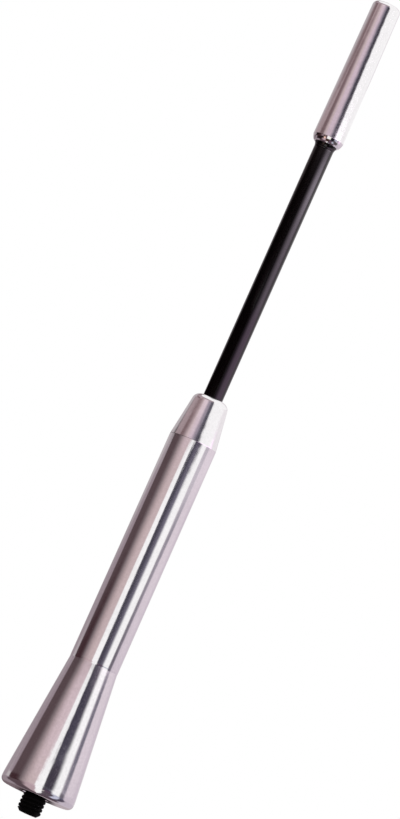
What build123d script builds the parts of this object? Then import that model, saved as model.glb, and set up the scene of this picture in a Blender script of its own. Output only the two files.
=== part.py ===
from build123d import *
from math import cos, pi, radians, sin, tan
import os

# A short screw-on car antenna. All sizes are in millimetres.
# The foot seats on the plane z = 0, the mast runs up +Z, and the stud points down.

# Mounting stud
stud_dia = 6.0
stud_projection = 4.75
stud_engagement = 9.0
stud_end_chamfer = 0.8
stud_neck_dia = 5.2
stud_neck_length = 1.0
hex_across_flats = 3.0
hex_depth = 2.6

# Tapped hole in the foot
thread_clearance = 0.05
tapped_hole_run_out = 1.5
tapped_hole_countersink = 0.4

# Base: foot, tube and nose, turned from one bar
foot_dia = 19.4
flare_height = 34.9
waist_dia = 12.45
tube_length = 59.2
shoulder_dia = 12.2
nose_length = 11.9
nose_end_dia = 8.3
foot_edge_round = 2.0
nose_edge_round = 1.7
drill_point_angle = 118.0

# Rod
rod_dia = 5.0
rod_exposed = 69.1
rod_collar_dia = 5.8
rod_collar_height = 1.4
core_dia = 2.4
core_end_gap = 0.3
jacket_end_wall = 1.2

# Winding
wire_dia = 0.6
wire_sides = 6
winding_pitch = 5.0
winding_chords_per_turn = 10
winding_clearance = 0.03
winding_end_margin = 2.0

# Socket in the nose, and the ferrule that sits in it
socket_depth = 26.0
rod_clearance = 0.05
ferrule_length = 16.0
ferrule_clearance = 0.02
ferrule_floor = 3.0
ferrule_end_chamfer = 0.4
ferrule_mouth_depth = 3.0
crimp_groove_count = 2
crimp_groove_width = 0.9
crimp_groove_depth = 0.25
crimp_groove_pitch = 2.2
core_clearance = 0.02

# Tip cap
cap_length = 38.4
cap_mouth_dia = 7.9
cap_top_dia = 7.2
cap_top_round = 1.2
cap_bore_depth = 16.0
lip_bevel = 0.45
lip_round_height = 1.8
lip_round_width = 0.4

# Heights up the mast
shoulder_z = flare_height + tube_length
nose_end_z = shoulder_z + nose_length
socket_floor_z = nose_end_z - socket_depth
ferrule_top_z = socket_floor_z + ferrule_length
cap_mouth_z = nose_end_z + rod_exposed
cap_top_z = cap_mouth_z + cap_length
jacket_end_z = cap_mouth_z + cap_bore_depth

# Radii that several pieces share. The wire is laid in straight chords, whose middles
# clear the core and whose mitred corners clear the jacket.
socket_radius = rod_dia / 2 + rod_clearance
chord_bend = cos(pi / winding_chords_per_turn)
winding_corner_radius = (core_dia / 2 + winding_clearance + wire_dia / 2) / chord_bend
jacket_bore_radius = winding_corner_radius + wire_dia / 2 / chord_bend + winding_clearance


def turned(section):
    """Revolve a half section, drawn as radius and height, about the mast's axis."""
    return revolve(Plane.XZ * section, Axis.Z)


def half_section(*corners):
    """A straight-sided half section through the given (radius, height) corners."""
    return make_face(Polyline(*corners, close=True))


def slight_taper(lower, upper):
    """A straight, slightly tapered side, as a Bezier so that its turned face has few facets."""
    return Bezier(lower, upper)


def round_corner(section, corner, radius):
    """Round the one corner of a half section that lies at the given point."""
    return fillet(section.vertices().sort_by_distance(corner)[0], radius)


def drilled_hole(radius, mouth_z, floor_z):
    """The space of a blind drilled hole, with the drill's point past its floor."""
    point_length = radius / tan(radians(drill_point_angle / 2))
    point_z = floor_z + point_length if floor_z > mouth_z else floor_z - point_length
    return turned(half_section((0, mouth_z), (radius, mouth_z), (radius, floor_z), (0, point_z)))


def tapped_hole():
    """The space of the stud's hole in the foot, countersunk at the seat."""
    radius = stud_dia / 2 + thread_clearance
    countersink = turned(half_section(
        (0, 0),
        (radius + tapped_hole_countersink, 0),
        (radius, tapped_hole_countersink),
        (0, tapped_hole_countersink),
    ))
    return drilled_hole(radius, 0, stud_engagement + tapped_hole_run_out) + countersink


def base_body():
    """The turned base, with a tapped hole in its foot and the rod's socket in its nose."""
    foot_corner = (foot_dia / 2, 0)
    waist = (waist_dia / 2, flare_height)
    shoulder = (shoulder_dia / 2, shoulder_z)
    nose_corner = (nose_end_dia / 2, nose_end_z)
    nose_land = nose_end_dia / 2 - socket_radius
    rest = Polyline(shoulder, nose_corner, (0, nose_end_z), (0, 0), foot_corner, waist)
    section = make_face(slight_taper(waist, shoulder) + rest)
    section = round_corner(section, foot_corner, foot_edge_round)
    section = round_corner(section, nose_corner, min(nose_edge_round, nose_land))
    rod_socket = drilled_hole(socket_radius, nose_end_z, socket_floor_z)
    return turned(section) - tapped_hole() - rod_socket


def mounting_stud():
    """The headless stud: two threaded ends, a plain neck just inside the foot, a key socket."""
    radius = stud_dia / 2
    end_radius = radius - stud_end_chamfer
    neck_radius = stud_neck_dia / 2
    neck_chamfer = radius - neck_radius
    shank = turned(half_section(
        (0, -stud_projection),
        (end_radius, -stud_projection),
        (radius, -stud_projection + stud_end_chamfer),
        (radius, 0),
        (neck_radius, neck_chamfer),
        (neck_radius, stud_neck_length),
        (radius, stud_neck_length + neck_chamfer),
        (radius, stud_engagement - stud_end_chamfer),
        (end_radius, stud_engagement),
        (0, stud_engagement),
    ))
    key_section = RegularPolygon(hex_across_flats / 2, 6, major_radius=False)
    return shank - Pos(0, 0, -stud_projection) * extrude(key_section, hex_depth)


def rod_ferrule():
    """The brass ferrule on the rod's lower end, with crimp grooves round the core."""
    radius = socket_radius - ferrule_clearance
    sleeve = turned(half_section(
        (0, socket_floor_z),
        (radius - ferrule_end_chamfer, socket_floor_z),
        (radius, socket_floor_z + ferrule_end_chamfer),
        (radius, ferrule_top_z),
        (0, ferrule_top_z),
    ))
    core_hole_radius = core_dia / 2 + core_clearance
    core_hole = Pos(0, 0, socket_floor_z + ferrule_floor) * Cylinder(
        core_hole_radius, ferrule_length, align=(Align.CENTER, Align.CENTER, Align.MIN))
    winding_mouth = Pos(0, 0, ferrule_top_z - ferrule_mouth_depth) * Cylinder(
        jacket_bore_radius, ferrule_length, align=(Align.CENTER, Align.CENTER, Align.MIN))
    sleeve = sleeve - core_hole - winding_mouth
    first_groove_z = socket_floor_z + ferrule_floor + crimp_groove_pitch
    for index in range(crimp_groove_count):
        groove_z = first_groove_z + index * crimp_groove_pitch
        sleeve = sleeve - turned(half_section(
            (radius - crimp_groove_depth, groove_z),
            (socket_radius, groove_z - crimp_groove_width / 2),
            (socket_radius, groove_z + crimp_groove_width / 2),
        ))
    return sleeve


def core_rod():
    """The fibreglass core, from the floor of the ferrule to just under the jacket's end."""
    bottom_z = socket_floor_z + ferrule_floor
    top_z = jacket_end_z - jacket_end_wall - core_end_gap
    return Pos(0, 0, bottom_z) * Cylinder(
        core_dia / 2, top_z - bottom_z, align=(Align.CENTER, Align.CENTER, Align.MIN))


def helical_winding():
    """The copper wire wound round the core, from inside the ferrule's mouth to the tip."""
    bottom_z = ferrule_top_z - ferrule_mouth_depth + wire_dia / 2 + winding_clearance
    top_z = jacket_end_z - jacket_end_wall - winding_end_margin
    chord_rise = winding_pitch / winding_chords_per_turn
    corners = []
    for index in range(int((top_z - bottom_z) / chord_rise) + 1):
        angle = 2 * pi * index / winding_chords_per_turn
        corners.append((
            winding_corner_radius * cos(angle),
            winding_corner_radius * sin(angle),
            bottom_z + index * chord_rise,
        ))
    path = Polyline(*corners)
    wire_section = Plane(origin=path @ 0, z_dir=path % 0) * RegularPolygon(wire_dia / 2, wire_sides)
    return sweep(wire_section, path=path, transition=Transition.RIGHT)


def rod_sheath():
    """The black jacket over core and winding, with its shoulder under the tip cap."""
    radius = rod_dia / 2
    collar_radius = rod_collar_dia / 2
    collar_start = (radius, cap_mouth_z - rod_collar_height)
    collar_rim = (collar_radius, cap_mouth_z)
    flank = TangentArc(collar_start, collar_rim, tangent=(0, 1))
    rest = Polyline(
        collar_rim,
        (radius, cap_mouth_z),
        (radius, jacket_end_z),
        (0, jacket_end_z),
        (0, jacket_end_z - jacket_end_wall),
        (jacket_bore_radius, jacket_end_z - jacket_end_wall),
        (jacket_bore_radius, ferrule_top_z),
        (radius, ferrule_top_z),
        collar_start,
    )
    return turned(make_face(flank + rest))


def tip_cap():
    """The turned cap over the rod's end, with a bevelled mouth and a rounded top."""
    mouth_radius = cap_mouth_dia / 2
    top_corner = (cap_top_dia / 2, cap_top_z)
    lip_top = (mouth_radius, cap_mouth_z + lip_bevel + lip_round_height)
    bevel_top = (mouth_radius - lip_round_width, cap_mouth_z + lip_bevel)
    lip_round = TangentArc(lip_top, bevel_top, tangent=(0, -1))
    rest = Polyline(
        bevel_top,
        (mouth_radius - lip_round_width - lip_bevel, cap_mouth_z),
        (0, cap_mouth_z),
        (0, cap_top_z),
        top_corner,
    )
    section = make_face(lip_round + rest + slight_taper(lip_top, top_corner))
    section = round_corner(section, top_corner, cap_top_round)
    rod_bore = drilled_hole(socket_radius, cap_mouth_z, jacket_end_z)
    return turned(section) - rod_bore


pieces = {
    "base_body": base_body(),
    "mounting_stud": mounting_stud(),
    "rod_ferrule": rod_ferrule(),
    "core_rod": core_rod(),
    "helical_winding": helical_winding(),
    "rod_sheath": rod_sheath(),
    "tip_cap": tip_cap(),
}

os.makedirs("parts", exist_ok=True)
for name, piece in pieces.items():
    export_step(piece, f"parts/{name}.step")
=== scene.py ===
from math import cos, pi, radians, sin, tan
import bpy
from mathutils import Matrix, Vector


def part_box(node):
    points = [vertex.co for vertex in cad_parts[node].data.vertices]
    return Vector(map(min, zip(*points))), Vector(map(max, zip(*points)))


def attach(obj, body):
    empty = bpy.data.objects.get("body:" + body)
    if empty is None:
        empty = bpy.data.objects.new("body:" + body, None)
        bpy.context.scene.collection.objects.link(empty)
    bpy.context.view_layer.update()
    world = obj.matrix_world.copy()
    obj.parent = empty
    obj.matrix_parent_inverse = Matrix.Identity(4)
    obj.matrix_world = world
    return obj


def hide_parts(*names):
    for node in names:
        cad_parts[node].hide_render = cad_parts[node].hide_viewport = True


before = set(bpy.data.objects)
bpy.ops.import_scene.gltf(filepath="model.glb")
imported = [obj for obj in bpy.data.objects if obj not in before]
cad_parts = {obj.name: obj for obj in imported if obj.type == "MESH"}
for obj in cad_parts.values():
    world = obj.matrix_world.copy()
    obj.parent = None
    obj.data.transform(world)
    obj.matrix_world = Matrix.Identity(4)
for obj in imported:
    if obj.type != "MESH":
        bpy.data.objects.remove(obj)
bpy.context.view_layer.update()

from types import SimpleNamespace
from typing import NamedTuple

import bmesh
import bpy
from bpy.props import FloatProperty, FloatVectorProperty, IntProperty, PointerProperty
from bpy.types import Operator, Panel, PropertyGroup
from mathutils import Matrix, Vector

bl_info = {
    "name": "Short Car Antenna",
    "version": (1, 0, 0),
    "blender": (4, 5, 0),
    "location": "View3D > Sidebar > Antenna",
    "description": "Gives a short screw-on car antenna its turned, threaded and moulded looks",
    "category": "Object",
}

MM = 0.001
PER_MM = 1000.0
BODY = "root"

# Record slot names, handed along with each new piece though nothing reads them
POLISHED = "polished_aluminium"
BLACK_STEEL = "black_steel"
COPPER = "copper"
JACKET = "black_jacket"

# Where the fixed frame puts each piece
BASE_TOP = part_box("base_body")[1].z
SHEATH_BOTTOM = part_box("rod_sheath")[0].z
SHEATH_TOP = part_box("rod_sheath")[1].z
CAP_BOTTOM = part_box("tip_cap")[0].z
CAP_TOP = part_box("tip_cap")[1].z
STUD_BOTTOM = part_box("mounting_stud")[0].z
STUD_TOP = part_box("mounting_stud")[1].z
WINDING_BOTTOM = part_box("helical_winding")[0].z
WINDING_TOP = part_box("helical_winding")[1].z

# A blind hole ends in the point of a 118 degree drill
DRILL_POINT_SLOPE = tan(radians(59))

# The thread's flats, as shares of its pitch, and the turns that keep its phase above nought
CREST_FLAT = 1 / 2
ROOT_FLAT = 1 / 8
WHOLE_TURNS = 4

# How far down from a crest the stud's coat is rubbed, in millimetres
RUBBED_DEPTH = 0.14

# Where the cap's lip turns, as shares of the lip's height and width
LIP_TURN_HEIGHT = 0.46
LIP_TURN_WIDTH = 0.42

# Each step of a turned outline gets three rows of faces. On a step longer than four edge supports
# the outer two are narrow, and on a shorter one they close up.
ROWS_PER_STEP = 3
LONG_STEP = 4
ROW_TOLERANCE = 0.1
MERGE_DISTANCE = 0.001 * MM


def length(label, description, default):
    """A size in metres, shown in the scene's own length unit."""
    return FloatProperty(
        name=label, description=description, default=default, precision=5,
        subtype="DISTANCE", unit="LENGTH",
    )


def angle(label, description, degrees):
    """An angle, with its default in degrees."""
    return FloatProperty(
        name=label, description=description, default=radians(degrees), subtype="ANGLE", unit="ROTATION")


def whole(label, description, default, least):
    """A whole number."""
    return IntProperty(name=label, description=description, default=default, min=least)


def share(label, description, default):
    """A plain number between nought and one."""
    return FloatProperty(
        name=label, description=description, default=default, min=0, max=1, subtype="FACTOR")


def colour(label, description, default):
    """A linear colour."""
    return FloatVectorProperty(
        name=label, description=description, default=default, min=0, max=1, subtype="COLOR")


class AntennaBaseSizes(PropertyGroup):
    """Sizes of the turned base."""

    foot_diameter: length("Foot diameter", "Across the foot's rim, before its edge is rounded", 18.95 * MM)
    foot_round: length("Foot round", "Radius of the foot's lower edge", 1.5 * MM)
    rim_height: length("Rim height", "Height of the straight rim, where the flare begins", 2.3 * MM)
    rim_round: length("Rim round", "Radius of the turn from rim to flare", 16.0 * MM)
    flare_height: length("Flare height", "From the seat up to the waist", 34.9 * MM)
    waist_diameter: length("Waist diameter", "Across the base where flare and tube meet", 12.45 * MM)
    waist_step: length("Waist step", "How far the tube stands over the flare's upper end", 0.03 * MM)
    waist_step_height: length("Waist step height", "Height over which that step runs out", 0.40 * MM)
    tube_length: length("Tube length", "From the waist up to the shoulder", 59.2 * MM)
    shoulder_diameter: length("Shoulder diameter", "Across the upper end of the tube", 12.2 * MM)
    shoulder_round: length("Shoulder round", "Radius of the edge between tube and nose", 0.8 * MM)
    nose_top: length("Nose top", "Height of the nose's end above the seat", BASE_TOP)
    nose_diameter: length("Nose diameter", "Across the nose's end, before it is rounded", 8.8 * MM)
    nose_round: length("Nose round", "Radius of the nose's upper edge", 1.75 * MM)
    socket_diameter: length("Socket diameter", "Bore that the rod stands in", 5.1 * MM)
    socket_depth: length("Socket depth", "Depth of that bore", 26.0 * MM)
    tapped_diameter: length("Tapped hole diameter", "Bore that the stud screws into", 6.1 * MM)
    tapped_depth: length("Tapped hole depth", "Depth of that bore", 10.5 * MM)
    countersink: length("Countersink", "Bevel at the tapped hole's mouth", 0.4 * MM)


class AntennaCapSizes(PropertyGroup):
    """Sizes of the turned tip cap."""

    mouth_height: length("Mouth height", "Height of the cap's mouth above the seat", CAP_BOTTOM)
    top_height: length("Top height", "Height of the cap's top above the seat", CAP_TOP)
    mouth_diameter: length("Mouth diameter", "Across the cap just above its lip", 7.9 * MM)
    top_diameter: length("Top diameter", "Across the top, before it is rounded", 7.2 * MM)
    top_round: length("Top round", "Radius of the upper edge", 1.2 * MM)
    bevel_height: length("Bevel height", "Height of the bevel at the mouth's edge", 0.32 * MM)
    bevel_width: length("Bevel width", "Width of that bevel", 0.32 * MM)
    lip_height: length("Lip height", "Height of the curved lip above the bevel", 1.25 * MM)
    lip_width: length("Lip width", "How far the lip draws in", 0.50 * MM)
    lip_round: length("Lip round", "Radius of the lip's curve", 3.0 * MM)
    bore_diameter: length("Bore diameter", "Bore that takes the rod", 5.1 * MM)
    bore_depth: length("Bore depth", "Depth of that bore", 16.0 * MM)


class AntennaSheathSizes(PropertyGroup):
    """Sizes of the black jacket on the rod."""

    bottom_height: length("Bottom height", "Height of the jacket's lower end", SHEATH_BOTTOM)
    top_height: length("Top height", "Height of the jacket's closed end", SHEATH_TOP)
    diameter: length("Diameter", "Across the jacket", 5.0 * MM)
    bore_diameter: length("Bore diameter", "Across the space for core and winding", 3.91 * MM)
    end_wall: length("End wall", "Thickness of the closed end", 1.2 * MM)
    collar_diameter: length("Collar diameter", "Across the moulded collar under the cap", 5.8 * MM)
    collar_height: length("Collar height", "Height over which the collar flares out", 1.4 * MM)
    collar_top: length("Collar top", "Height of the collar's upper face", CAP_BOTTOM)


class AntennaStudSizes(PropertyGroup):
    """Sizes of the threaded stud."""

    bottom_height: length("Bottom height", "Height of the stud's free end", STUD_BOTTOM)
    top_height: length("Top height", "Height of the end inside the foot", STUD_TOP)
    diameter: length("Diameter", "Across the thread's crests", 6.0 * MM)
    pitch: length("Pitch", "Rise of the thread in one turn", 1.0 * MM)
    thread_depth: length("Thread depth", "From crest to root, which the black coat part fills", 0.26 * MM)
    end_chamfer: length("End chamfer", "Bevel on both ends", 0.8 * MM)
    neck_diameter: length("Neck diameter", "Across the plain neck inside the foot", 5.2 * MM)
    neck_length: length("Neck length", "Length of that neck", 1.0 * MM)
    key_width: length("Key width", "Across the flats of the key socket", 3.0 * MM)
    key_depth: length("Key depth", "Depth of the key socket", 2.6 * MM)


class AntennaWindingSizes(PropertyGroup):
    """Sizes of the copper winding."""

    bottom_height: length("Bottom height", "Height of the winding's lower end", WINDING_BOTTOM)
    top_height: length("Top height", "Height of the winding's upper end", WINDING_TOP)
    wire_diameter: length("Wire diameter", "Across the wire", 0.6 * MM)
    pitch: length("Pitch", "Rise of the winding in one turn", 5.0 * MM)
    mean_radius: length("Mean radius", "From the mast's axis to the wire's middle", 1.57 * MM)


class AntennaMeshSizes(PropertyGroup):
    """How finely the pieces are divided."""

    segments: whole("Segments", "Faces round a turned piece", 224, 24)
    round_steps: whole("Round steps", "Faces across a rounded edge", 12, 3)
    edge_support: length("Edge support", "Width of the faces that keep a long side straight", 0.12 * MM)
    thread_segments: whole("Thread segments", "Faces round the thread", 96, 24)
    thread_rows: whole("Thread rows", "Faces across one thread turn", 16, 8)
    wire_steps: whole("Wire steps", "Faces along one winding turn", 40, 12)
    wire_sides: whole("Wire sides", "Faces round the wire", 12, 6)


class AntennaFinishes(PropertyGroup):
    """Colours and polish of the materials."""

    aluminium: colour("Aluminium", "Polished aluminium", (0.915, 0.905, 0.912))
    aluminium_roughness: share("Aluminium roughness", "Polish of the turned faces", 0.085)
    steel: colour("Black steel", "Coat on the stud", (0.0015, 0.0012, 0.0014))
    steel_worn: colour("Worn steel", "Thread crests, where the coat is rubbed", (0.006, 0.0055, 0.006))
    jacket: colour("Jacket", "Black jacket of the rod", (0.0014, 0.0007, 0.0009))
    brass: colour("Brass", "Machined ferrule", (0.78, 0.56, 0.26))
    fibreglass: colour("Fibreglass", "Core of the rod", (0.72, 0.69, 0.52))
    copper: colour("Copper", "Enamelled wire", (0.72, 0.30, 0.14))


class AntennaStageSizes(PropertyGroup):
    """Camera, floor and lights."""

    camera_distance: length("Camera distance", "From the camera to its aim", 1250 * MM)
    camera_tilt: angle("Camera tilt", "How far the camera looks up", 7.8)
    camera_roll: angle("Camera roll", "Lean of the mast in the picture", 24.04)
    aim_height: length("Aim height", "Height that the camera looks at", 102.37 * MM)
    aim_aside: length("Aim aside", "How far the aim lies beside the axis", -1.73 * MM)
    focal_length: FloatProperty(
        name="Focal length", description="Lens on a 36 mm sensor", default=225.05,
        subtype="DISTANCE_CAMERA")
    tent_radius: length("Tent radius", "From the mast to the light tent's wall", 660 * MM)
    tent_height: length("Tent height", "How far the tent reaches up and down", 1500 * MM)
    inner_radius: length("Inner radius", "From the mast to the low wall close to it", 200 * MM)
    foot_wall_radius: length("Foot wall radius", "From the mast to the small wall at its foot", 50 * MM)
    floor_width: length("Floor width", "Side of the square floor", 8000 * MM)
    plain_level: share("Plain level", "Even light on the plain finishes", 0.8)
    lamp_power: FloatProperty(
        name="Lamp power", description="Soft lamp over the left shoulder", default=4.0, unit="POWER")


class AntennaSettings(PropertyGroup):
    """All settings of the antenna."""

    base: PointerProperty(type=AntennaBaseSizes)
    cap: PointerProperty(type=AntennaCapSizes)
    sheath: PointerProperty(type=AntennaSheathSizes)
    stud: PointerProperty(type=AntennaStudSizes)
    winding: PointerProperty(type=AntennaWindingSizes)
    mesh: PointerProperty(type=AntennaMeshSizes)
    finish: PointerProperty(type=AntennaFinishes)
    stage: PointerProperty(type=AntennaStageSizes)


class Signal:
    """An output socket that Python's operators turn into Math nodes."""

    def __init__(self, maker, socket):
        self.maker = maker
        self.socket = socket

    def __add__(self, other):
        return self.maker.math("ADD", self, other)

    def __radd__(self, other):
        return self.maker.math("ADD", other, self)

    def __sub__(self, other):
        return self.maker.math("SUBTRACT", self, other)

    def __rsub__(self, other):
        return self.maker.math("SUBTRACT", other, self)

    def __mul__(self, other):
        return self.maker.math("MULTIPLY", self, other)

    def __rmul__(self, other):
        return self.maker.math("MULTIPLY", other, self)

    def __truediv__(self, other):
        return self.maker.math("DIVIDE", self, other)

    def __rtruediv__(self, other):
        return self.maker.math("DIVIDE", other, self)

    def __neg__(self):
        return self.maker.math("MULTIPLY", self, -1.0)


class NodeMaker:
    """Adds nodes to one tree and links them."""

    def __init__(self, tree):
        self.tree = tree

    def node(self, kind, settings=None, values=None):
        """A node of the given type, with its settings set first and then its sockets' values or links."""
        node = self.tree.nodes.new(kind)
        for name, setting in (settings or {}).items():
            if name == "choices":
                node.index_switch_items.clear()
                for _ in range(setting):
                    node.index_switch_items.new()
            else:
                setattr(node, name, setting)
        for key, value in (values or {}).items():
            socket = node.inputs[key]
            if isinstance(value, Signal):
                self.tree.links.new(value.socket, socket)
            elif socket.type == "RGBA" and len(value) == 3:
                socket.default_value = (*value, 1.0)
            else:
                socket.default_value = value
        return node

    def add(self, kind, settings=None, values=None, output=0):
        """One output of a new node."""
        return Signal(self, self.node(kind, settings, values).outputs[output])

    def math(self, operation, *values):
        """One Math node."""
        return self.add("ShaderNodeMath", {"operation": operation}, dict(enumerate(values)))

    def clamp(self, value, low, high):
        """The value, kept between two limits."""
        return self.math("MINIMUM", self.math("MAXIMUM", value, low), high)

    def hypotenuse(self, x, y):
        """The slanting side over two sides at right angles."""
        return self.math("SQRT", x * x + y * y)

    def point(self, x=0.0, y=0.0, z=0.0):
        """A vector from its three numbers."""
        return self.add("ShaderNodeCombineXYZ", values={"X": x, "Y": y, "Z": z})

    def axes(self, vector):
        """The three numbers of a vector."""
        node = self.node("ShaderNodeSeparateXYZ", values={"Vector": vector})
        return [Signal(self, socket) for socket in node.outputs]

    def scaled(self, vector, factor):
        """A vector or colour times a number."""
        return self.add(
            "ShaderNodeVectorMath", {"operation": "SCALE"}, {"Vector": vector, "Scale": factor})

    def smooth_step(self, value, low, high):
        """Rises smoothly from nought to one between two values."""
        return self.add(
            "ShaderNodeMapRange", {"interpolation_type": "SMOOTHSTEP"},
            {"Value": value, "From Min": low, "From Max": high},
        )

    def soft_edge(self, value, edge, soft):
        """Rises smoothly from nought to one across an edge that is as soft as given."""
        return self.smooth_step(value, edge - soft / 2, edge + soft / 2)

    def blend(self, factor, first, second):
        """The first colour, turning into the second as the factor goes to one."""
        return self.add("ShaderNodeMix", {"data_type": "RGBA"}, {0: factor, 6: first, 7: second}, output=2)

    def noise(self, vector, scale, detail=2.0, dimensions="3D"):
        """Random grain, with the scale in grains for each unit of the given place."""
        return self.add(
            "ShaderNodeTexNoise", {"noise_dimensions": dimensions},
            {"Vector": vector, "Scale": scale, "Detail": detail},
        )


def size_tree(title, *groups):
    """A geometry tree with one named input for each size in the given settings groups."""
    tree = bpy.data.node_groups.new(title, "GeometryNodeTree")
    kinds = {"FLOAT": "NodeSocketFloat", "INT": "NodeSocketInt"}
    names = []
    for group in groups:
        for prop in group.bl_rna.properties:
            if prop.type in kinds:
                socket = tree.interface.new_socket(prop.name, in_out="INPUT", socket_type=kinds[prop.type])
                socket.description = prop.description
                socket.default_value = getattr(group, prop.identifier)
                if prop.type == "FLOAT":
                    socket.subtype = "DISTANCE"
                names.append(prop.identifier)
    tree.interface.new_socket("Geometry", in_out="OUTPUT", socket_type="NodeSocketGeometry")
    maker = NodeMaker(tree)
    source = maker.node("NodeGroupInput")
    sizes = {name: Signal(maker, source.outputs[index]) for index, name in enumerate(names)}
    return maker, SimpleNamespace(**sizes)


def close_tree(maker, mesh, finish, sharp_angle=radians(28)):
    """Shade the mesh smooth except at sharp edges, give it its material and end the tree."""
    smooth = maker.add(
        "GeometryNodeSetShadeSmooth", {"domain": "FACE"}, {"Geometry": mesh, "Shade Smooth": True})
    edge_angle = maker.add("GeometryNodeInputMeshEdgeAngle")
    is_sharp = maker.add(
        "FunctionNodeCompare", {"data_type": "FLOAT", "operation": "GREATER_THAN"},
        {0: edge_angle, 1: sharp_angle})
    creased = maker.add(
        "GeometryNodeSetShadeSmooth", {"domain": "EDGE"},
        {"Geometry": smooth, "Selection": is_sharp, "Shade Smooth": False})
    real = maker.add("GeometryNodeRealizeInstances", values={"Geometry": creased})
    done = maker.add("GeometryNodeSetMaterial", values={"Geometry": real, "Material": finish})
    maker.node("NodeGroupOutput", values={"Geometry": done})
    return maker.tree


def new_object(name, data):
    """An object in the scene, at the origin."""
    thing = bpy.data.objects.new(name, data)
    bpy.context.scene.collection.objects.link(thing)
    return thing


def run_tree(name, tree, *groups):
    """Feed a tree its sizes, and keep what it makes as a plain mesh object."""
    piece = new_object(name, bpy.data.meshes.new(name))
    modifier = piece.modifiers.new("Make", "NODES")
    modifier.node_group = tree
    sizes = {
        prop.name: getattr(group, prop.identifier)
        for group in groups for prop in group.bl_rna.properties
    }
    for item in tree.interface.items_tree:
        if item.in_out == "INPUT":
            modifier[item.identifier] = sizes[item.name]
    empty_mesh = piece.data
    evaluated = piece.evaluated_get(bpy.context.evaluated_depsgraph_get())
    made = bpy.data.meshes.new_from_object(evaluated)
    piece.modifiers.remove(modifier)
    piece.data = made
    bpy.data.meshes.remove(empty_mesh)
    made.name = name
    return piece


def choose(maker, index, values, data_type):
    """The value that stands at the given place in a list."""
    numbered = {str(place): value for place, value in enumerate(values)}
    return maker.add(
        "GeometryNodeIndexSwitch", {"data_type": data_type, "choices": len(values)},
        {"Index": index, **numbered})


def flat_grid(maker, columns, rows):
    """A grid to roll up, with the turn and the row of each of its points."""
    grid = maker.add(
        "GeometryNodeMeshGrid",
        values={"Size X": 1.0, "Size Y": 1.0, "Vertices X": columns + 1, "Vertices Y": rows + 1})
    across, along, _ = maker.axes(maker.add("GeometryNodeInputPosition"))
    return grid, across + 0.5, maker.math("ROUND", (along + 0.5) * rows)


def rolled_up(maker, grid, radius, turn, height):
    """The grid rolled up round the mast's axis, with its seam and its ends closed."""
    around = turn * (2 * pi)
    place = maker.point(radius * maker.math("COSINE", around), radius * maker.math("SINE", around), height)
    rolled = maker.add("GeometryNodeSetPosition", values={"Geometry": grid, "Position": place})
    return maker.add(
        "GeometryNodeMergeByDistance", values={"Geometry": rolled, "Distance": MERGE_DISTANCE})


def turned_mesh(maker, corners, mesh):
    """A closed turned solid from (radius, height, edge radius) corners, from axis to axis.

    Long straight stretches get a narrow face at both ends, which keeps their shading straight.
    """
    index = maker.add("GeometryNodeInputIndex")
    places = [maker.point(radius, 0, height) for radius, height, _ in corners]
    place = choose(maker, index, places, "VECTOR")
    rounds = choose(maker, index, [edge for _, _, edge in corners], "FLOAT")
    points = maker.add("GeometryNodePoints", values={"Count": len(corners), "Position": place})
    outline = maker.add("GeometryNodePointsToCurves", values={"Points": points})
    outline = maker.add(
        "GeometryNodeFilletCurve", {"mode": "POLY"},
        {"Curve": outline, "Count": mesh.round_steps, "Radius": rounds, "Limit Radius": True})
    outline = maker.add("GeometryNodeCurveToPoints", {"mode": "EVALUATED"}, {"Curve": outline})
    count = maker.add(
        "GeometryNodeAttributeDomainSize", {"component": "POINTCLOUD"}, {"Geometry": outline})

    grid, turn, row = flat_grid(maker, mesh.segments, (count - 1) * ROWS_PER_STEP)
    step = maker.math("FLOOR", row / ROWS_PER_STEP + ROW_TOLERANCE)
    part = row - step * ROWS_PER_STEP
    position = maker.add("GeometryNodeInputPosition")

    def outline_point(number):
        sampled = maker.add(
            "GeometryNodeSampleIndex", {"data_type": "FLOAT_VECTOR", "domain": "POINT", "clamp": True},
            {"Geometry": outline, "Value": position, "Index": number})
        radius, _, height = maker.axes(sampled)
        return radius, height

    radius, height = outline_point(step)
    next_radius, next_height = outline_point(step + 1)
    run = next_radius - radius
    rise = next_height - height
    span = maker.math("MAXIMUM", maker.hypotenuse(run, rise), MERGE_DISTANCE)
    is_long = maker.math("GREATER_THAN", span, mesh.edge_support * LONG_STEP)
    near = is_long * mesh.edge_support / span
    is_near_start = maker.math("COMPARE", part, 1.0, ROW_TOLERANCE)
    is_near_end = maker.math("COMPARE", part, 2.0, ROW_TOLERANCE)
    share_along = is_near_start * near + is_near_end * (1 - near)
    return rolled_up(maker, grid, radius + run * share_along, turn, height + rise * share_along)


def base_tree(sizes, mesh, finish):
    """The base: tapped foot, flare, tube and nose with the rod's socket."""
    maker, size = size_tree("Turned base", sizes, mesh)
    hole = size.tapped_diameter / 2
    socket = size.socket_diameter / 2
    socket_floor = size.nose_top - size.socket_depth
    waist = size.waist_diameter / 2
    shoulder_height = size.flare_height + size.tube_length
    corners = [
        (0.0, size.tapped_depth + hole / DRILL_POINT_SLOPE, 0.0),
        (hole, size.tapped_depth, 0.0),
        (hole, size.countersink, 0.0),
        (hole + size.countersink, 0.0, 0.0),
        (size.foot_diameter / 2, 0.0, size.foot_round),
        (size.foot_diameter / 2, size.rim_height, size.rim_round),
        (waist - size.waist_step, size.flare_height - size.waist_step_height, 0.0),
        (waist, size.flare_height, size.waist_step_height),
        (size.shoulder_diameter / 2, shoulder_height, size.shoulder_round),
        (size.nose_diameter / 2, size.nose_top, size.nose_round),
        (socket, size.nose_top, 0.0),
        (socket, socket_floor, 0.0),
        (0.0, socket_floor - socket / DRILL_POINT_SLOPE, 0.0),
    ]
    return close_tree(maker, turned_mesh(maker, corners, size), finish)


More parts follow.
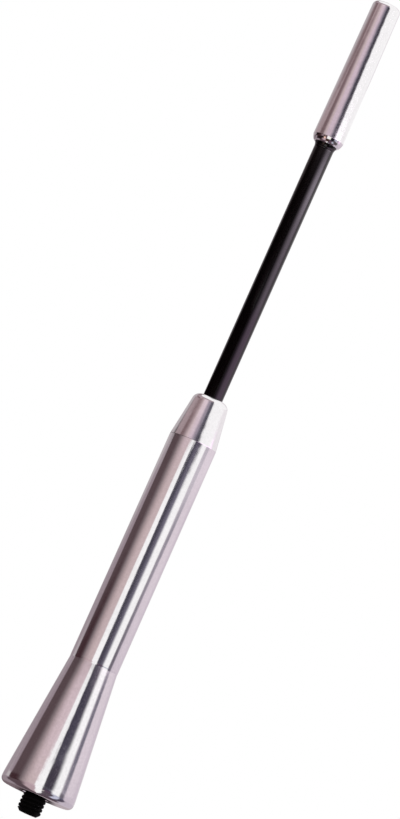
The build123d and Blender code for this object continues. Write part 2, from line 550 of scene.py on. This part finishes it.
def cap_tree(sizes, mesh, finish):
    """The tip cap: blind bore, bevelled and rounded lip, slight taper and rounded top."""
    maker, size = size_tree("Turned tip cap", sizes, mesh)
    bore = size.bore_diameter / 2
    bore_end = size.mouth_height + size.bore_depth
    mouth = size.mouth_diameter / 2
    lip = mouth - size.lip_width
    lip_low = size.mouth_height + size.bevel_height
    lip_turn = lip_low + size.lip_height * LIP_TURN_HEIGHT
    lip_high = lip_low + size.lip_height
    corners = [
        (0.0, bore_end + bore / DRILL_POINT_SLOPE, 0.0),
        (bore, bore_end, 0.0),
        (bore, size.mouth_height, 0.0),
        (lip - size.bevel_width, size.mouth_height, 0.0),
        (lip, lip_low, size.bevel_width),
        (mouth - size.lip_width * LIP_TURN_WIDTH, lip_turn, size.lip_round),
        (mouth, lip_high, size.bevel_width),
        (size.top_diameter / 2, size.top_height, size.top_round),
        (0.0, size.top_height, 0.0),
    ]
    return close_tree(maker, turned_mesh(maker, corners, size), finish)


def sheath_tree(sizes, mesh, finish):
    """The jacket: open below, closed above, with the collar that the cap rests on."""
    maker, size = size_tree("Moulded jacket", sizes, mesh)
    radius = size.diameter / 2
    bore = size.bore_diameter / 2
    collar = size.collar_diameter / 2
    flare = collar - radius
    flare_radius = (size.collar_height * size.collar_height + flare * flare) / (flare * 2)
    flare_tangent = flare_radius * flare / size.collar_height
    inner_end = size.top_height - size.end_wall
    corners = [
        (0.0, inner_end, 0.0),
        (bore, inner_end, 0.0),
        (bore, size.bottom_height, 0.0),
        (radius, size.bottom_height, 0.0),
        (radius, size.collar_top - size.collar_height + flare_tangent, flare_radius),
        (collar, size.collar_top, 0.0),
        (radius, size.collar_top, 0.0),
        (radius, size.top_height, 0.0),
        (0.0, size.top_height, 0.0),
    ]
    return close_tree(maker, turned_mesh(maker, corners, size), finish)


def stud_tree(sizes, mesh, finish):
    """The headless stud: a V thread along rows that follow its helix, a neck and a key socket."""
    maker, size = size_tree("Threaded stud", sizes, mesh)
    span = size.top_height - size.bottom_height
    end_rows = 2
    rows = maker.math("ROUND", (span / size.pitch + 1) * size.thread_rows) + end_rows
    grid, turn, row = flat_grid(maker, size.thread_segments, rows)
    rise = ((row - 1) / size.thread_rows + turn - 1) * size.pitch
    height = maker.clamp(rise, 0.0, span)

    phase = maker.math("FRACT", height / size.pitch - turn + WHOLE_TURNS)
    crest = maker.math("ABSOLUTE", phase - 0.5) * 2
    crest_from = 1 - CREST_FLAT
    cut = maker.clamp((crest_from - crest) / (crest_from - ROOT_FLAT), 0.0, 1.0)
    crest_radius = size.diameter / 2
    threaded = crest_radius - cut * size.thread_depth

    from_end = maker.math("MINIMUM", height, span - height)
    chamfered = crest_radius - size.end_chamfer + from_end
    above_seat = height + size.bottom_height
    neck_middle = size.neck_length / 2
    from_neck = maker.math("ABSOLUTE", above_seat - neck_middle) - neck_middle
    necked = size.neck_diameter / 2 + maker.math("MAXIMUM", from_neck, 0.0)
    radius = maker.math("MINIMUM", maker.math("MINIMUM", threaded, chamfered), necked)
    is_side = maker.math("GREATER_THAN", row, 0.5) * maker.math("LESS_THAN", row, rows - 0.5)
    shank = rolled_up(maker, grid, radius * is_side, turn, above_seat)

    key = maker.add(
        "GeometryNodeMeshCylinder",
        values={"Vertices": 6, "Radius": size.key_width / 2 / cos(pi / 6), "Depth": size.key_depth * 2})
    key = maker.add(
        "GeometryNodeTransform",
        values={"Geometry": key, "Translation": maker.point(0, 0, size.bottom_height)})
    socketed = maker.add(
        "GeometryNodeMeshBoolean", {"operation": "DIFFERENCE", "solver": "EXACT"},
        {"Mesh 1": shank, "Mesh 2": key})
    return close_tree(maker, socketed, finish, sharp_angle=radians(20))


def winding_tree(sizes, mesh, finish):
    """The winding: one round wire along a helix."""
    maker, size = size_tree("Helical winding", sizes, mesh)
    span = size.top_height - size.bottom_height - size.wire_diameter
    helix = maker.add(
        "GeometryNodeCurveSpiral",
        values={
            "Resolution": size.wire_steps, "Rotations": span / size.pitch,
            "Start Radius": size.mean_radius, "End Radius": size.mean_radius, "Height": span,
        })
    helix = maker.add(
        "GeometryNodeTransform",
        values={
            "Geometry": helix,
            "Translation": maker.point(0, 0, size.bottom_height + size.wire_diameter / 2),
        })
    wire = maker.add(
        "GeometryNodeCurvePrimitiveCircle", {"mode": "RADIUS"},
        {"Resolution": size.wire_sides, "Radius": size.wire_diameter / 2})
    tube = maker.add(
        "GeometryNodeCurveToMesh", values={"Curve": helix, "Profile Curve": wire, "Fill Caps": True})
    return close_tree(maker, tube, finish, sharp_angle=radians(50))


def empty_nodes(owner):
    """The node maker of a material or world, whose nodes are cleared."""
    owner.use_nodes = True
    owner.node_tree.nodes.clear()
    return NodeMaker(owner.node_tree)


def new_material(name):
    """An empty material, its node maker and the place on the piece in millimetres."""
    finish = bpy.data.materials.new(name)
    maker = empty_nodes(finish)
    return finish, maker, maker.scaled(maker.add("ShaderNodeTexCoord", output=3), PER_MM)


def surface(maker, values):
    """End a material in one Principled BSDF."""
    shader = maker.add("ShaderNodeBsdfPrincipled", values=values)
    maker.node("ShaderNodeOutputMaterial", values={"Surface": shader})


def bump(maker, height, depth, normal=None):
    """A normal from a height between nought and one, as deep as the given length."""
    values = {"Strength": 1.0, "Distance": depth, "Height": height}
    if normal is not None:
        values["Normal"] = normal
    return maker.add("ShaderNodeBump", values=values)


def darker(tint, left_over):
    """A colour with only a share of its light left over."""
    return tuple(channel * left_over for channel in tint)


def lathe_plane(maker, place):
    """Radius and height on a turned piece, on which nothing changes round the axis."""
    x, y, z = maker.axes(place)
    return maker.point(maker.hypotenuse(x, y), z, 0.0)


def polished_aluminium(finish_settings):
    """Turned and polished: fine rings from the tool, faint smudges from the hand."""
    finish, maker, place = new_material("polished aluminium")
    rings = lathe_plane(maker, place)
    fine = maker.noise(rings, 6.5, detail=3.0, dimensions="2D")
    coarse = maker.noise(rings, 0.9, dimensions="2D")
    waves = maker.noise(place, 0.3, detail=1.0)
    grain = maker.noise(place, 1.7, detail=3.0)
    smudge = maker.noise(place, 0.11, detail=3.0)
    smudged = maker.smooth_step(smudge, 0.42, 0.72)
    speckle = maker.smooth_step(grain, 0.34, 0.66)
    dulled = smudged * 0.15 + coarse * 0.1 + speckle * 0.4
    tint = finish_settings.aluminium
    roughness = finish_settings.aluminium_roughness
    wavy = bump(maker, waves, 0.016 * MM)
    surface(maker, {
        "Base Color": maker.blend(dulled, tint, darker(tint, 0.86)),
        "Metallic": 1.0,
        "Roughness": roughness - 0.03 + fine * 0.05 + smudged * 0.03,
        "Normal": bump(maker, fine * 0.6 + coarse * 0.4, 0.0006 * MM, wavy),
    })
    return finish


def black_steel(finish_settings, crest_radius):
    """Black oxide, a little rubbed on the thread's crests."""
    finish, maker, place = new_material("black oxide steel")
    x, y, _ = maker.axes(place)
    patches = maker.noise(place, 2.2, detail=4.0)
    crest = crest_radius * PER_MM
    on_crest = maker.smooth_step(maker.hypotenuse(x, y), crest - RUBBED_DEPTH, crest)
    rubbed = on_crest * maker.smooth_step(patches, 0.45, 0.75)
    grain = maker.noise(place, 14.0, detail=2.0)
    surface(maker, {
        "Base Color": maker.blend(rubbed, finish_settings.steel, finish_settings.steel_worn),
        "Metallic": 0.0,
        "Roughness": 0.52 + grain * 0.16 - rubbed * 0.1,
        "Specular IOR Level": 0.06,
        "Normal": bump(maker, grain, 0.004 * MM),
    })
    return finish


def black_jacket(finish_settings):
    """Satin black plastic with a fine grain and faint drawing lines along the rod."""
    finish, maker, place = new_material("black jacket")
    x, y, z = maker.axes(place)
    lines = maker.noise(maker.point(x * 4.0, y * 4.0, z * 0.05), 1.0, detail=3.0)
    grain = maker.noise(place, 9.0, detail=3.0)
    dust = maker.smooth_step(maker.noise(place, 3.4, detail=5.0), 0.60, 0.78)
    tint = finish_settings.jacket
    dusty = tuple(channel + 0.002 for channel in tint)
    surface(maker, {
        "Base Color": maker.blend(dust, tint, dusty),
        "Roughness": 0.07 + lines * 0.03 + grain * 0.04,
        "Specular IOR Level": 0.5,
        "Normal": bump(maker, grain * 0.55 + lines * 0.45, 0.0016 * MM),
    })
    return finish


def machined_brass(finish_settings):
    """Turned brass, a little dulled."""
    finish, maker, place = new_material("machined brass")
    rings = lathe_plane(maker, place)
    marks = maker.noise(rings, 8.0, detail=2.0, dimensions="2D")
    stain = maker.smooth_step(maker.noise(place, 0.8, detail=3.0), 0.45, 0.7)
    tint = finish_settings.brass
    surface(maker, {
        "Base Color": maker.blend(stain, tint, darker(tint, 0.72)),
        "Metallic": 1.0,
        "Roughness": 0.22 + marks * 0.12 + stain * 0.1,
        "Normal": bump(maker, marks, 0.002 * MM),
    })
    return finish


def glass_core(finish_settings):
    """Drawn glass fibre in resin, with the fibres along the rod."""
    finish, maker, place = new_material("drawn fibreglass")
    x, y, z = maker.axes(place)
    fibres = maker.noise(maker.point(x * 9.0, y * 9.0, z * 0.12), 1.0, detail=4.0)
    tint = finish_settings.fibreglass
    surface(maker, {
        "Base Color": maker.blend(fibres, tint, darker(tint, 0.7)),
        "Roughness": 0.35 + fibres * 0.2,
        "Normal": bump(maker, fibres, 0.008 * MM),
    })
    return finish


def enamelled_copper(finish_settings):
    """Drawn copper wire under clear enamel."""
    finish, maker, place = new_material("enamelled copper")
    streaks = maker.noise(place, 1.6, detail=4.0)
    tint = finish_settings.copper
    surface(maker, {
        "Base Color": maker.blend(streaks, tint, darker(tint, 0.75)),
        "Metallic": 1.0,
        "Roughness": 0.18 + streaks * 0.16,
        "Coat Weight": 0.6,
        "Coat Roughness": 0.08,
        "Normal": bump(maker, streaks, 0.002 * MM),
    })
    return finish


def place_piece(piece, slot, *nodes):
    """Hide the frame nodes that a new piece takes the place of, and let the piece move with the body."""
    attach(piece, BODY)
    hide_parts(*nodes)


def build_piece(name, make_tree, sizes, mesh, finish, slot, node):
    """Make one piece from its tree and put it in the place of its frame node."""
    tree = make_tree(sizes, mesh, finish)
    place_piece(run_tree(name, tree, sizes, mesh), slot, node)


class ANTENNA_OT_build_base(Operator):
    """Turn the polished base with its foot, tube and nose"""

    bl_idname = "antenna.build_base"
    bl_label = "Build base"

    def execute(self, context):
        antenna = context.scene.antenna
        finish = polished_aluminium(antenna.finish)
        build_piece("turned_base", base_tree, antenna.base, antenna.mesh, finish, POLISHED, "base_body")
        return {"FINISHED"}


class ANTENNA_OT_build_cap(Operator):
    """Turn the polished tip cap"""

    bl_idname = "antenna.build_cap"
    bl_label = "Build tip cap"

    def execute(self, context):
        antenna = context.scene.antenna
        finish = bpy.data.materials.get("polished aluminium") or polished_aluminium(antenna.finish)
        build_piece("turned_tip_cap", cap_tree, antenna.cap, antenna.mesh, finish, POLISHED, "tip_cap")
        return {"FINISHED"}


class ANTENNA_OT_build_sheath(Operator):
    """Mould the rod's black jacket with its collar"""

    bl_idname = "antenna.build_sheath"
    bl_label = "Build jacket"

    def execute(self, context):
        antenna = context.scene.antenna
        finish = black_jacket(antenna.finish)
        build_piece(
            "moulded_jacket", sheath_tree, antenna.sheath, antenna.mesh, finish, JACKET, "rod_sheath")
        return {"FINISHED"}


class ANTENNA_OT_build_stud(Operator):
    """Cut the stud's thread and key socket"""

    bl_idname = "antenna.build_stud"
    bl_label = "Build stud"

    def execute(self, context):
        antenna = context.scene.antenna
        finish = black_steel(antenna.finish, antenna.stud.diameter / 2)
        build_piece(
            "threaded_stud", stud_tree, antenna.stud, antenna.mesh, finish, BLACK_STEEL, "mounting_stud")
        return {"FINISHED"}


class ANTENNA_OT_build_winding(Operator):
    """Wind the copper wire round the core"""

    bl_idname = "antenna.build_winding"
    bl_label = "Build winding"

    def execute(self, context):
        antenna = context.scene.antenna
        finish = enamelled_copper(antenna.finish)
        build_piece(
            "wound_wire", winding_tree, antenna.winding, antenna.mesh, finish, COPPER, "helical_winding")
        return {"FINISHED"}


class ANTENNA_OT_finish_core(Operator):
    """Give the ferrule and the core, which keep their frame shapes, their brass and fibreglass"""

    bl_idname = "antenna.finish_core"
    bl_label = "Finish ferrule and core"

    def execute(self, context):
        finish = context.scene.antenna.finish
        finishes = {"rod_ferrule": machined_brass(finish), "core_rod": glass_core(finish)}
        for node, material in finishes.items():
            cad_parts[node].material_slots[0].material = material
        return {"FINISHED"}


class Card(NamedTuple):
    """One card of the light tent, over azimuth in degrees and height in metres."""

    tint: tuple
    azimuth: tuple
    azimuth_soft: tuple
    height: tuple
    height_soft: float = 0.004
    lean: tuple = (0.0, 0.0)


# The light tent round the antenna. Azimuths are from the camera, positive to the right, and the
# lean of a card's two edges is in degrees for each metre above its lower end. Heights are from the
# seat, along a line that sags towards the back as the flared foot mirrors it, but for the level
# edges. Later cards lie in front of earlier ones.
ALL_ROUND = (-220, 220)
TENT_SAG = 0.04
SAG_LIMIT = 1.15

# Heights of the tent, mostly named for the stretch of the mast that mirrors them
LOWEST = -2.0
HIGHEST = 2.0
BACK_BELOW = 0.058
GAP_LEANS_FROM = 0.09
FLARE_FROM = 0.183
ROD_FROM = 0.237
CAP_FROM = 0.307
NOSE_FROM = 0.384
ALL_HEIGHTS = (LOWEST, HIGHEST)
RIM = (LOWEST, 0.066)
TUBE = (LOWEST, FLARE_FROM)
TUBE_GAP = (GAP_LEANS_FROM, FLARE_FROM)
FLARE = (FLARE_FROM, ROD_FROM)
ROD = (ROD_FROM, CAP_FROM)
ROD_TOP = (0.278, 0.295)
CAP = (CAP_FROM, NOSE_FROM)
NOSE = (NOSE_FROM, HIGHEST)
LEVEL_EDGES = (CAP_FROM, *ROD_TOP)
BLACK = (0.0, 0.0, 0.0)
WHITE = (1.03, 1.02, 1.025)
WALL = (0.53, 0.48, 0.50)
PINK = (0.61, 0.48, 0.49)
DARK = (0.055, 0.045, 0.072)
CARDS = {
    "right wall": Card((0.65, 0.565, 0.64), (76, 158), (8, 20), ALL_HEIGHTS),
    "far right": Card((0.78, 0.73, 0.76), (158, 220), (20, 1), ALL_HEIGHTS),
    "right glow": Card((0.76, 0.67, 0.735), (82, 132), (8, 30), (0.15, CAP_FROM), 0.06),
    "left dip": Card((0.36, 0.30, 0.33), (-164, -128), (22, 12), (LOWEST, 0.20), 0.06),
    "scrim": Card(PINK, (-62, 12), (36, 4), ALL_HEIGHTS),
    "flare scrim": Card((0.69, 0.545, 0.585), (-48, 12), (36, 4), FLARE),
    "flag halo": Card((0.34, 0.27, 0.305), (-132, -100), (20, 8), (0.15, 0.23), 0.04),
    "flag": Card((0.105, 0.070, 0.078), (-108, -54), (8, 50), (LOWEST, ROD_FROM)),
    "deep flag": Card((0.053, 0.025, 0.030), (-110, -72), (8, 26), (LOWEST, 0.155), 0.05),
    "front strip": Card(WHITE, (-16, 12), (5, 2), TUBE),
    "flare strip": Card(WHITE, (-9, 12), (6, 2), FLARE),
    "softbox": Card(WHITE, (32, 70), (4, 8), TUBE),
    "flare softbox": Card(WHITE, (32, 72), (4, 8), FLARE),
    "seam": Card((0.40, 0.36, 0.42), (70, 85), (8, 9), (LOWEST, 0.225), 0.02),
    "low seam": Card((0.165, 0.145, 0.18), (68, 84), (8, 9), (LOWEST, 0.148), 0.06),
    "flare seam": Card((0.17, 0.16, 0.205), (74, 88), (8, 9), (0.176, 0.228), 0.022),
    "low gap": Card(DARK, (9, 41), (4, 12), (LOWEST, GAP_LEANS_FROM)),
    "tube gap": Card((0.19, 0.175, 0.23), (9, 39), (4, 14), TUBE_GAP, lean=(-76, -40)),
    "tube gap core": Card((0.066, 0.060, 0.085), (9, 29), (4, 24), TUBE_GAP, lean=(-76, -100)),
    "flare gap": Card((0.058, 0.052, 0.077), (10.5, 43), (4, 16), FLARE, lean=(-110, -60)),
    "rod shade": Card((0.008, 0.004, 0.005), (-122, 24), (20, 40), ROD, 0.006),
    "rod light": Card((2.3, 1.85, 2.3), (32, 88), (60, 40), (0.243, CAP_FROM), 0.02),
    "rod top light": Card((6.6, 5.8, 6.8), (44, 90), (44, 30), ROD_TOP, 0.010),
    "shade": Card((0.33, 0.245, 0.26), (-149, -45), (60, 18), (CAP_FROM, HIGHEST), lean=(300, -70)),
    "deep shade": Card((0.20, 0.132, 0.14), (-82, -50), (34, 16), (CAP_FROM, HIGHEST), lean=(-200, -160)),
    "cap lilac": Card((0.68, 0.54, 0.62), (-32, 20), (20, 4), CAP),
    "cap gap": Card((0.20, 0.18, 0.23), (13, 50), (26, 8), CAP, lean=(-360, -330)),
    "cap gap core": Card((0.050, 0.045, 0.060), (21, 47), (17, 10), CAP, lean=(-270, -340)),
    "cap softbox": Card(WHITE, (49, 220), (9, 1), CAP, lean=(-330, 0)),
    "nose left": Card((0.40, 0.31, 0.33), (-124, -96), (12, 8), (0.338, 0.362), 0.010),
    "nose side": Card((0.42, 0.32, 0.34), (-125, -78), (14, 12), (0.352, 0.377), 0.010),
    "nose shade": Card((0.50, 0.38, 0.40), (-80, -48), (14, 16), NOSE, 0.02),
    "nose deep shade": Card((0.35, 0.25, 0.26), (-74, -56), (20, 14), NOSE, 0.02),
    "nose scrim": Card((0.78, 0.64, 0.70), (-43, 16), (14, 4), NOSE),
    "nose gap": Card((0.35, 0.30, 0.365), (-16, 20.5), (16, 8), NOSE),
    "nose gap core": Card((0.115, 0.11, 0.14), (2, 20.5), (12, 9), NOSE),
    "nose softbox": Card(WHITE, (20.5, 152), (9, 40), NOSE),
    "nose right": Card((0.90, 0.86, 0.885), (138, 180), (10, 14), (0.276, 0.366), 0.010, (-500, -500)),
    "top shade": Card((0.42, 0.33, 0.36), (-130, 16), (30, 4), (0.55, 0.95), 0.1),
    "overhead": Card(WHITE, ALL_ROUND, (1, 1), (0.95, HIGHEST), 0.1),
    "rim wall": Card((0.31, 0.25, 0.28), (-160, -90), (30, 20), RIM, 0.02),
    "rim scrim": Card((0.52, 0.38, 0.42), (-58, -12), (50, 4), RIM, 0.02),
    "rim flag": Card((0.045, 0.019, 0.022), (-106, -56), (16, 50), RIM, 0.02),
    "rim gap": Card((0.112, 0.070, 0.105), (10, 42), (4, 14), RIM, 0.02),
    "rim softbox": Card((0.50, 0.51, 0.62), (42, 72), (12, 8), RIM, 0.02),
    "rim seam": Card((0.133, 0.124, 0.186), (70, 90), (8, 12), RIM, 0.02),
    "rim right": Card((0.59, 0.515, 0.59), (90, 160), (12, 30), RIM, 0.02),
    "low shade": Card((0.015, 0.008, 0.010), (-118, -16), (20, 4), (-0.30, -0.06), 0.05),
    "low glint": Card((0.98, 0.62, 0.52), (-39, -23), (6, 6), (-0.33, -0.10), 0.05),
    "low camera gap": Card((0.012, 0.010, 0.015), (9, 48), (3, 10), (-0.30, -0.04), 0.05),
    "low spark": Card((1.03, 1.0, 0.94), (0, 17), (8, 6), (-0.22, 0.0), 0.05),
    "low softbox": Card((0.10, 0.08, 0.09), (48, 92), (10, 10), (-0.30, -0.06), 0.05),
    "low front": Card((0.06, 0.03, 0.025), (-22, 12), (6, 4), (-0.90, -0.25), 0.05),
    "low glow": Card((0.10, 0.065, 0.08), ALL_ROUND, (1, 1), (LOWEST, -0.75), 0.3),
    "low back left": Card((0.19, 0.14, 0.155), (-220, -160), (1, 14), (-0.7, BACK_BELOW), 0.04),
    "low back right": Card((0.48, 0.41, 0.44), (160, 220), (14, 1), (-0.7, BACK_BELOW), 0.04),
    "low core left": Card((0.012, 0.006, 0.008), (-220, -179.5), (1, 0.4), (-0.5, BACK_BELOW), 0.04),
    "low core right": Card((0.012, 0.006, 0.008), (179.3, 220), (0.4, 1), (-0.5, BACK_BELOW), 0.04),
}

# A low clear wall close to the mast. Seen from the picture's side, its cards are mirrored by the lower
# end of the rod and the upper end of the tube, and at their soft edges by the sides of the nose.
INNER_LOW = 0.085
INNER_HIGH = 0.161
TUBE_TOP_BELOW = 0.124
ROD_FOOT = (0.127, 0.2)
INNER_CARDS = {
    "seam veil": Card((0.60, 0.55, 0.61), (67, 90), (8, 8), (0.099, TUBE_TOP_BELOW), 0.020),
    "tube top glow": Card((0.80, 0.71, 0.78), (88, 150), (8, 40), (0.108, TUBE_TOP_BELOW), 0.020),
    "rod foot shade": Card((0.012, 0.005, 0.006), (-165, 16), (6, 50), ROD_FOOT, lean=(2385, 0)),
    "rod foot light": Card((1.65, 1.15, 1.65), (30, 92), (64, 40), ROD_FOOT),
}

# A small closed wall round the foot, clear between its cards. Seen from the picture's side, only the
# lower half of the flare and the foot's rounded edge mirror it.
FOOT_WALL_LOW = -0.07
FOOT_WALL_HIGH = 0.023
FOOT_EDGE_BELOW = -0.002
FOOT_EDGE = (LOWEST, FOOT_EDGE_BELOW)
FLARE_FOOT = (0.009, 0.0195)
FOOT_CARDS = {
    "edge wall": Card((0.105, 0.07, 0.08), (-105, -48), (16, 20), FOOT_EDGE),
    "edge scrim": Card((0.50, 0.37, 0.40), (-45, -7), (24, 6), FOOT_EDGE),
    "edge gap": Card((0.10, 0.075, 0.095), (9, 46), (6, 14), FOOT_EDGE),
    "edge softbox": Card((0.60, 0.60, 0.74), (46, 66), (12, 10), (-0.06, FOOT_EDGE_BELOW)),
    "edge seam": Card((0.085, 0.07, 0.10), (66, 88), (8, 12), FOOT_EDGE),
    "flare foot strip": Card(WHITE, (-8.6, 12), (5, 2), FLARE_FOOT, 0.003),
    "flare foot gap": Card((0.055, 0.046, 0.066), (8.5, 37.5), (4, 16), FLARE_FOOT, 0.003),
    "edge strip": Card(WHITE, (-9, 10), (5, 3), FOOT_EDGE),
    "edge strip foot": Card(WHITE, (-12, 14), (6, 6), (LOWEST, -0.035)),
}


# A clear wall's glow is divided by how much of the wall is covered, which is never taken as nought
LEAST_COVER = 0.001

# The stage's camera, walls, floor and lamp, with their lengths and places in metres
CAMERA_REACH = 20.0
WALL_SIDES = 128
FLOOR_PAINT = (0.86, 0.86, 0.86)
LAMP_WIDTH = 0.9
LAMP_PLACE = Vector((-0.7, -0.8, 1.1))
LAMP_AIM = Vector((0, 0, 0.1))


def end_partly_clear(maker, shader, clear_share):
    """End a material in a shader that turns clear as the given share goes to one."""
    clear = maker.add("ShaderNodeBsdfTransparent")
    mixed = maker.add("ShaderNodeMixShader", values={0: clear_share, 1: shader, 2: clear})
    maker.node("ShaderNodeOutputMaterial", values={"Surface": mixed})


def tent_material(name, cards, sag=0.0, see_through=True):
    """The glow of a tent wall's cards, either on a clear wall or on a plain one."""
    glow = bpy.data.materials.new(name)
    glow.cycles.emission_sampling = "NONE"
    maker = empty_nodes(glow)
    x, y, z = maker.axes(maker.add("ShaderNodeTexCoord", output=3))
    azimuth = maker.math("ARCTAN2", x, -y) * (180 / pi)
    sideways = maker.math("MINIMUM", maker.math("ABSOLUTE", azimuth) / 90, SAG_LIMIT)
    sagging = z + sideways * sideways * sag

    def above(edge, soft):
        return maker.soft_edge(z if edge in LEVEL_EDGES else sagging, edge, soft)

    shown = BLACK if see_through else WALL
    uncovered = 1.0 if see_through else 0.0
    for card in cards.values():
        low, high = card.height
        rise = sagging - low
        past_left, past_right = [
            maker.soft_edge(azimuth - rise * lean, edge, soft)
            for edge, soft, lean in zip(card.azimuth, card.azimuth_soft, card.lean)
        ]
        inside = above(low, card.height_soft) * (1 - above(high, card.height_soft))
        inside = inside * past_left * (1 - past_right)
        shown = maker.blend(inside, shown, card.tint)
        uncovered = uncovered * (1 - inside)
    covered = maker.math("MAXIMUM", 1 - uncovered, LEAST_COVER)
    full = maker.scaled(shown, 1 / covered)
    light = maker.add("ShaderNodeEmission", values={"Color": full, "Strength": 1.0})
    end_partly_clear(maker, light, uncovered)
    return glow


def floor_material():
    """A pale floor that is clear from below, where the picture is taken."""
    pale = bpy.data.materials.new("pale floor")
    maker = empty_nodes(pale)
    paint = maker.add("ShaderNodeBsdfDiffuse", values={"Color": FLOOR_PAINT})
    below = maker.add("ShaderNodeNewGeometry", output=6)
    end_partly_clear(maker, paint, below)
    return pale


def studio_world(level):
    """A white surround for what is seen or mirrored, and an even level on the plain finishes."""
    world = bpy.data.worlds.new("studio")
    maker = empty_nodes(world)
    path = maker.node("ShaderNodeLightPath")
    camera, glossy, through = [
        Signal(maker, path.outputs[name])
        for name in ("Is Camera Ray", "Is Glossy Ray", "Is Transmission Ray")
    ]
    seen = maker.math("MAXIMUM", maker.math("MAXIMUM", camera, glossy), through)
    light = maker.add(
        "ShaderNodeBackground", values={"Color": (1.0, 1.0, 1.0), "Strength": level + seen * (1 - level)})
    maker.node("ShaderNodeOutputWorld", values={"Surface": light})
    return world


def looking(place, direction):
    """Where a camera or lamp stands, and how it turns to look along a direction."""
    turn = direction.to_track_quat("-Z", "Y").to_matrix().to_4x4()
    return Matrix.Translation(place) @ turn


def stage_mesh(name, material, build):
    """A stage object whose mesh the given function draws."""
    shape = bmesh.new()
    build(shape)
    mesh = bpy.data.meshes.new(name)
    shape.to_mesh(mesh)
    shape.free()
    mesh.materials.append(material)
    thing = new_object(name, mesh)
    return thing


class ANTENNA_OT_build_stage(Operator):
    """Set up the camera, the floor, the light tent and the lights"""

    bl_idname = "antenna.build_stage"
    bl_label = "Build stage"

    def execute(self, context):
        stage = context.scene.antenna.stage
        context.scene.camera = self.add_camera(stage)
        self.add_floor(stage)
        self.add_tent(stage)
        self.add_lamp(stage)
        context.scene.world = studio_world(stage.plain_level)
        context.scene.view_settings.view_transform = "Standard"
        return {"FINISHED"}

    def add_camera(self, stage):
        lens = bpy.data.cameras.new("camera")
        lens.lens = stage.focal_length
        lens.clip_end = CAMERA_REACH
        camera = new_object("camera", lens)
        aim = Vector((stage.aim_aside, 0, stage.aim_height))
        towards_aim = Vector((0, cos(stage.camera_tilt), sin(stage.camera_tilt)))
        roll = Matrix.Rotation(stage.camera_roll, 4, "Z")
        camera.matrix_world = looking(aim - towards_aim * stage.camera_distance, towards_aim) @ roll
        return camera

    def add_floor(self, stage):
        half = stage.floor_width / 2

        def square(shape):
            corners = [shape.verts.new((x, y, STUD_BOTTOM)) for x, y in (
                (-half, -half), (half, -half), (half, half), (-half, half))]
            shape.faces.new(corners)

        floor = stage_mesh("floor", floor_material(), square)
        floor.visible_glossy = False

    def add_tent(self, stage):
        glow = tent_material("tent glow", CARDS, TENT_SAG, see_through=False)
        self.add_wall("light_tent", glow, stage.tent_radius, -stage.tent_height, stage.tent_height)
        glow = tent_material("inner glow", INNER_CARDS)
        self.add_wall("inner_cards", glow, stage.inner_radius, INNER_LOW, INNER_HIGH, closed=False)
        glow = tent_material("foot glow", FOOT_CARDS)
        self.add_wall("foot_cards", glow, stage.foot_wall_radius, FOOT_WALL_LOW, FOOT_WALL_HIGH)

    def add_wall(self, name, glow, radius, low, high, closed=True):
        def wall(shape):
            bmesh.ops.create_cone(
                shape, segments=WALL_SIDES, cap_ends=closed, radius1=radius, radius2=radius,
                depth=high - low, matrix=Matrix.Translation((0, 0, (low + high) / 2)))

        tent = stage_mesh(name, glow, wall)
        tent.visible_camera = False
        tent.visible_diffuse = False
        tent.visible_shadow = False

    def add_lamp(self, stage):
        light = bpy.data.lights.new("soft lamp", "AREA")
        light.shape = "DISK"
        light.size = LAMP_WIDTH
        light.energy = stage.lamp_power
        lamp = new_object("soft lamp", light)
        lamp.matrix_world = looking(LAMP_PLACE, LAMP_AIM - LAMP_PLACE)
        lamp.visible_glossy = False


class ANTENNA_PT_sidebar(Panel):
    """Lists the antenna's pieces and their sizes"""

    bl_idname = "ANTENNA_PT_sidebar"
    bl_label = "Short car antenna"
    bl_space_type = "VIEW_3D"
    bl_region_type = "UI"
    bl_category = "Antenna"

    def draw(self, context):
        antenna = context.scene.antenna
        for step in STEPS:
            self.layout.operator(step.bl_idname)
        for title in AntennaSettings.__annotations__:
            box = self.layout.box()
            box.label(text=title.capitalize())
            group = getattr(antenna, title)
            for name in group.__annotations__:
                box.prop(group, name)


STEPS = (
    ANTENNA_OT_build_base,
    ANTENNA_OT_build_cap,
    ANTENNA_OT_build_sheath,
    ANTENNA_OT_build_stud,
    ANTENNA_OT_build_winding,
    ANTENNA_OT_finish_core,
    ANTENNA_OT_build_stage,
)
CLASSES = (
    AntennaBaseSizes,
    AntennaCapSizes,
    AntennaSheathSizes,
    AntennaStudSizes,
    AntennaWindingSizes,
    AntennaMeshSizes,
    AntennaFinishes,
    AntennaStageSizes,
    AntennaSettings,
    *STEPS,
    ANTENNA_PT_sidebar,
)


def register():
    for cls in CLASSES:
        bpy.utils.register_class(cls)
    bpy.types.Scene.antenna = PointerProperty(type=AntennaSettings)


def unregister():
    del bpy.types.Scene.antenna
    for cls in reversed(CLASSES):
        bpy.utils.unregister_class(cls)


def main():
    """Build every piece and the stage."""
    register()
    bpy.ops.antenna.build_base()
    bpy.ops.antenna.build_cap()
    bpy.ops.antenna.build_sheath()
    bpy.ops.antenna.build_stud()
    bpy.ops.antenna.build_winding()
    bpy.ops.antenna.finish_core()
    bpy.ops.antenna.build_stage()


if __name__ == "__main__":
    main()
